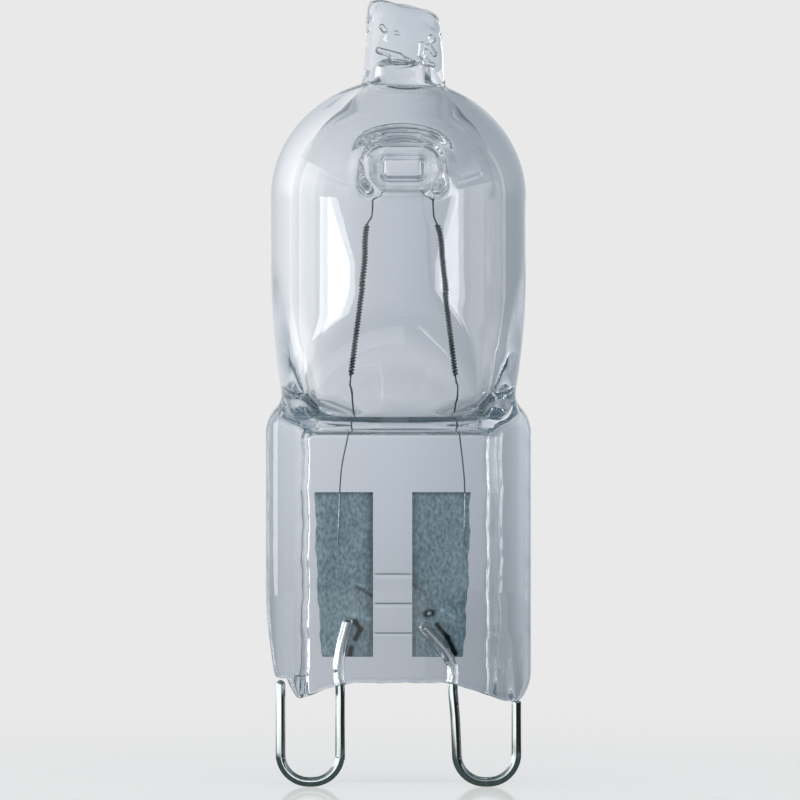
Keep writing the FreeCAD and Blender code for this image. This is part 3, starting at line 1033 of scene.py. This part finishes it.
def build_world():
    """Even background for the camera, and a studio that is bright on the left for the glass and metal."""
    world = bpy.data.worlds.new("studio")
    bpy.context.scene.world = world
    world.use_nodes = True
    nodes = world.node_tree.nodes
    links = world.node_tree.links
    axes = place_axes(nodes, links, "Generated")
    side = map_range(nodes, links, axes["X"], -1.0, 1.0)
    tilt = nodes.new("ShaderNodeMath")
    tilt.operation = "ABSOLUTE"
    links.new(axes["Z"], tilt.inputs[0])
    shade = ramp(nodes, links, tilt.outputs["Value"], HIGH_AND_LOW)
    path = nodes.new("ShaderNodeLightPath")
    nodes["Background"].inputs["Color"].default_value = (0.9, 0.95, 1.0, 1)
    nodes["Background"].inputs["Strength"].default_value = 0.5
    look = nodes["Background"].outputs["Background"]
    layers = (("Is Glossy Ray", MIRRORED), ("Is Transmission Ray", SEEN_THROUGH), ("Is Camera Ray", None))
    for ray, stops in layers:
        layer = nodes.new("ShaderNodeBackground")
        layer.inputs["Color"].default_value = (GROUND, GROUND, GROUND, 1)
        if stops:
            tone = product(nodes, links, ramp(nodes, links, side, stops), shade)
            links.new(tone, layer.inputs["Color"])
        look = mixed(nodes, links, path.outputs[ray], look, layer.outputs["Background"])
    links.new(look, nodes["World Output"].inputs["Surface"])


def build_floor():
    """Pale floor, polished in front of the lamp, that keeps its shadow and fades into the background."""
    made, nodes, links, shader = material("floor")
    shader.inputs["Base Color"].default_value = (GROUND, GROUND, GROUND, 1)
    shader.inputs["Roughness"].default_value = 0.07
    glow = nodes.new("ShaderNodeEmission")
    glow.inputs["Color"].default_value = (GROUND, GROUND, GROUND, 1)
    place = nodes.new("ShaderNodeTexCoord")
    length = nodes.new("ShaderNodeVectorMath")
    length.operation = "LENGTH"
    links.new(place.outputs["Object"], length.inputs[0])
    from_lamp = length.outputs["Value"]
    spot = nodes.new("ShaderNodeVectorMath")
    spot.operation = "DISTANCE"
    spot.inputs[1].default_value = [value * MM for value in polished_centre]
    links.new(place.outputs["Object"], spot.inputs[0])
    polish = map_range(nodes, links, spot.outputs["Value"], polished_reach[0] * MM, polished_reach[1] * MM,
                       at_low=floor_polish, at_high=0.0, smooth=True)
    links.new(polish, shader.inputs["Specular IOR Level"])
    fade = map_range(nodes, links, from_lamp, floor_fade[0] * MM, floor_fade[1] * MM,
                     at_low=floor_glow, smooth=True)
    look = mixed(nodes, links, fade, shader.outputs["BSDF"], glow.outputs["Emission"])
    path = nodes.new("ShaderNodeLightPath")
    reach = map_range(nodes, links, from_lamp, 0.0, floor_reach * MM)
    for ray, stops in (("Is Glossy Ray", MIRRORED_FLOOR), ("Is Transmission Ray", SEEN_FLOOR)):
        dim = nodes.new("ShaderNodeEmission")
        links.new(ramp(nodes, links, reach, stops), dim.inputs["Color"])
        look = mixed(nodes, links, path.outputs[ray], look, dim.outputs["Emission"])
    links.new(look, nodes["Material Output"].inputs["Surface"])
    turns = np.linspace(0, 2 * math.pi, 96, endpoint=False)
    rim = [(floor_reach * math.cos(turn), floor_reach * math.sin(turn), floor_z) for turn in turns]
    floor = mesh_object("floor", rim, [tuple(range(len(rim)))], made)


def hide_stage(piece, transmission):
    """Keep a studio card out of sight: it shows only through the glass, or only in mirrors."""
    piece.visible_camera = False
    piece.visible_shadow = False
    piece.visible_diffuse = False
    piece.visible_transmission = transmission
    piece.visible_glossy = not transmission


def build_strip(name, azimuths, brightness):
    """Low strip round part of the lamp, for its wires and the foot of the glass to mirror."""
    made, _, _, glow = emission_material(name)
    glow.inputs["Color"].default_value = (0.95, 1.0, 0.98, 1)
    glow.inputs["Strength"].default_value = brightness
    turns = np.radians(np.linspace(*azimuths, 40))
    rows = [[(strip_reach * math.sin(turn), -strip_reach * math.cos(turn), z) for turn in turns]
            for z in strip_heights]
    count = len(turns)
    faces = [(k, k + 1, count + k + 1, count + k) for k in range(count - 1)]
    hide_stage(mesh_object(name, rows[0] + rows[1], faces, made), False)


def build_backdrop(name, y, half_width, heights, tones, levels):
    """Graded card behind the lamp, which only shows through the glass."""
    made, nodes, links, glow = emission_material(name)
    axes = place_axes(nodes, links, "Object")
    across = map_range(nodes, links, axes["X"], -half_width * MM, half_width * MM)
    up = map_range(nodes, links, axes["Z"], heights[0] * MM, heights[1] * MM)
    tone = product(nodes, links, ramp(nodes, links, across, tones), ramp(nodes, links, up, levels))
    links.new(tone, glow.inputs["Color"])
    corners = [(-half_width, y, heights[0]), (half_width, y, heights[0]),
               (half_width, y, heights[1]), (-half_width, y, heights[1])]
    hide_stage(mesh_object(name, corners, [(0, 1, 2, 3)], made), True)


def build_lamp(name, azimuth, elevation, distance, size, watts, roll=0.0):
    """Softbox aimed at the bulb. Its angles are in degrees, from the camera's side and to the right."""
    lamp = bpy.data.lights.new(name, "AREA")
    lamp.shape = "RECTANGLE"
    lamp.size = size[0] * MM
    lamp.size_y = size[1] * MM
    lamp.energy = watts
    made = bpy.data.objects.new(name, lamp)
    bpy.context.scene.collection.objects.link(made)
    angle = math.radians(azimuth)
    tilt = math.radians(elevation)
    flat = distance * math.cos(tilt)
    height = lamp_aim_z + distance * math.sin(tilt)
    made.location = (flat * math.sin(angle) * MM, -flat * math.cos(angle) * MM, height * MM)
    made.rotation_mode = "XYZ"
    made.rotation_euler = (math.pi / 2 - tilt, math.radians(roll), angle)
    made.visible_camera = False
    return made


def build_camera():
    """Long lens straight at the front, from a little above."""
    view_width = picture_width / pixels_per_mm
    data = bpy.data.cameras.new("camera")
    data.sensor_width = 36.0
    data.lens = data.sensor_width * camera_distance / view_width
    data.clip_start = 0.01
    made = bpy.data.objects.new("camera", data)
    bpy.context.scene.collection.objects.link(made)
    made.location = (
        camera_aim[0] * MM,
        (camera_aim[1] - camera_distance * math.cos(camera_elevation)) * MM,
        (camera_aim[2] + camera_distance * math.sin(camera_elevation)) * MM,
    )
    made.rotation_euler = (math.pi / 2 - camera_elevation, 0, 0)
    bpy.context.scene.camera = made


build_envelope()
build_filament()
foil_finish = foil_material()
build_foil("foil_left", foil_finish, seed=3, outer=-1, painted_strokes=LEFT_PAINTED_STROKES)
build_foil("foil_right", foil_finish, seed=8, outer=1, painted_strokes=RIGHT_PAINTED_STROKES)
build_terminals()
build_world()
build_floor()
build_backdrop("backdrop", y=35.0, half_width=60.0, heights=(floor_z, 60.0),
               tones=BACKDROP, levels=BACKDROP_LEVELS)
build_backdrop("stub_card", y=5.0, half_width=5.0, heights=(stub_foot_z + 0.1, stub_top_z + 1.5),
               tones=BEHIND_STUB, levels=STUB_LEVELS)
build_strip("flag_right", azimuths=(5, 118), brightness=0.02)
build_strip("card_left", azimuths=(-95, 3), brightness=1.35)
build_lamp("softbox_left", azimuth=-59, elevation=-4, distance=110, size=(60, 25), watts=0.031, roll=6)
build_lamp("wall_left", azimuth=-98, elevation=5, distance=420, size=(260, 300), watts=0.3)
build_lamp("softbox_right", azimuth=56, elevation=5, distance=320, size=(110, 200), watts=0.019)
top = build_lamp("top", azimuth=0, elevation=70, distance=400, size=(250, 250), watts=0.8)
top.visible_glossy = False
top.visible_transmission = False
build_camera()
bpy.context.scene.view_settings.view_transform = "Standard"
bpy.context.scene.cycles.max_bounces = 64
bpy.context.scene.cycles.glossy_bounces = 60
bpy.context.scene.cycles.transmission_bounces = 64
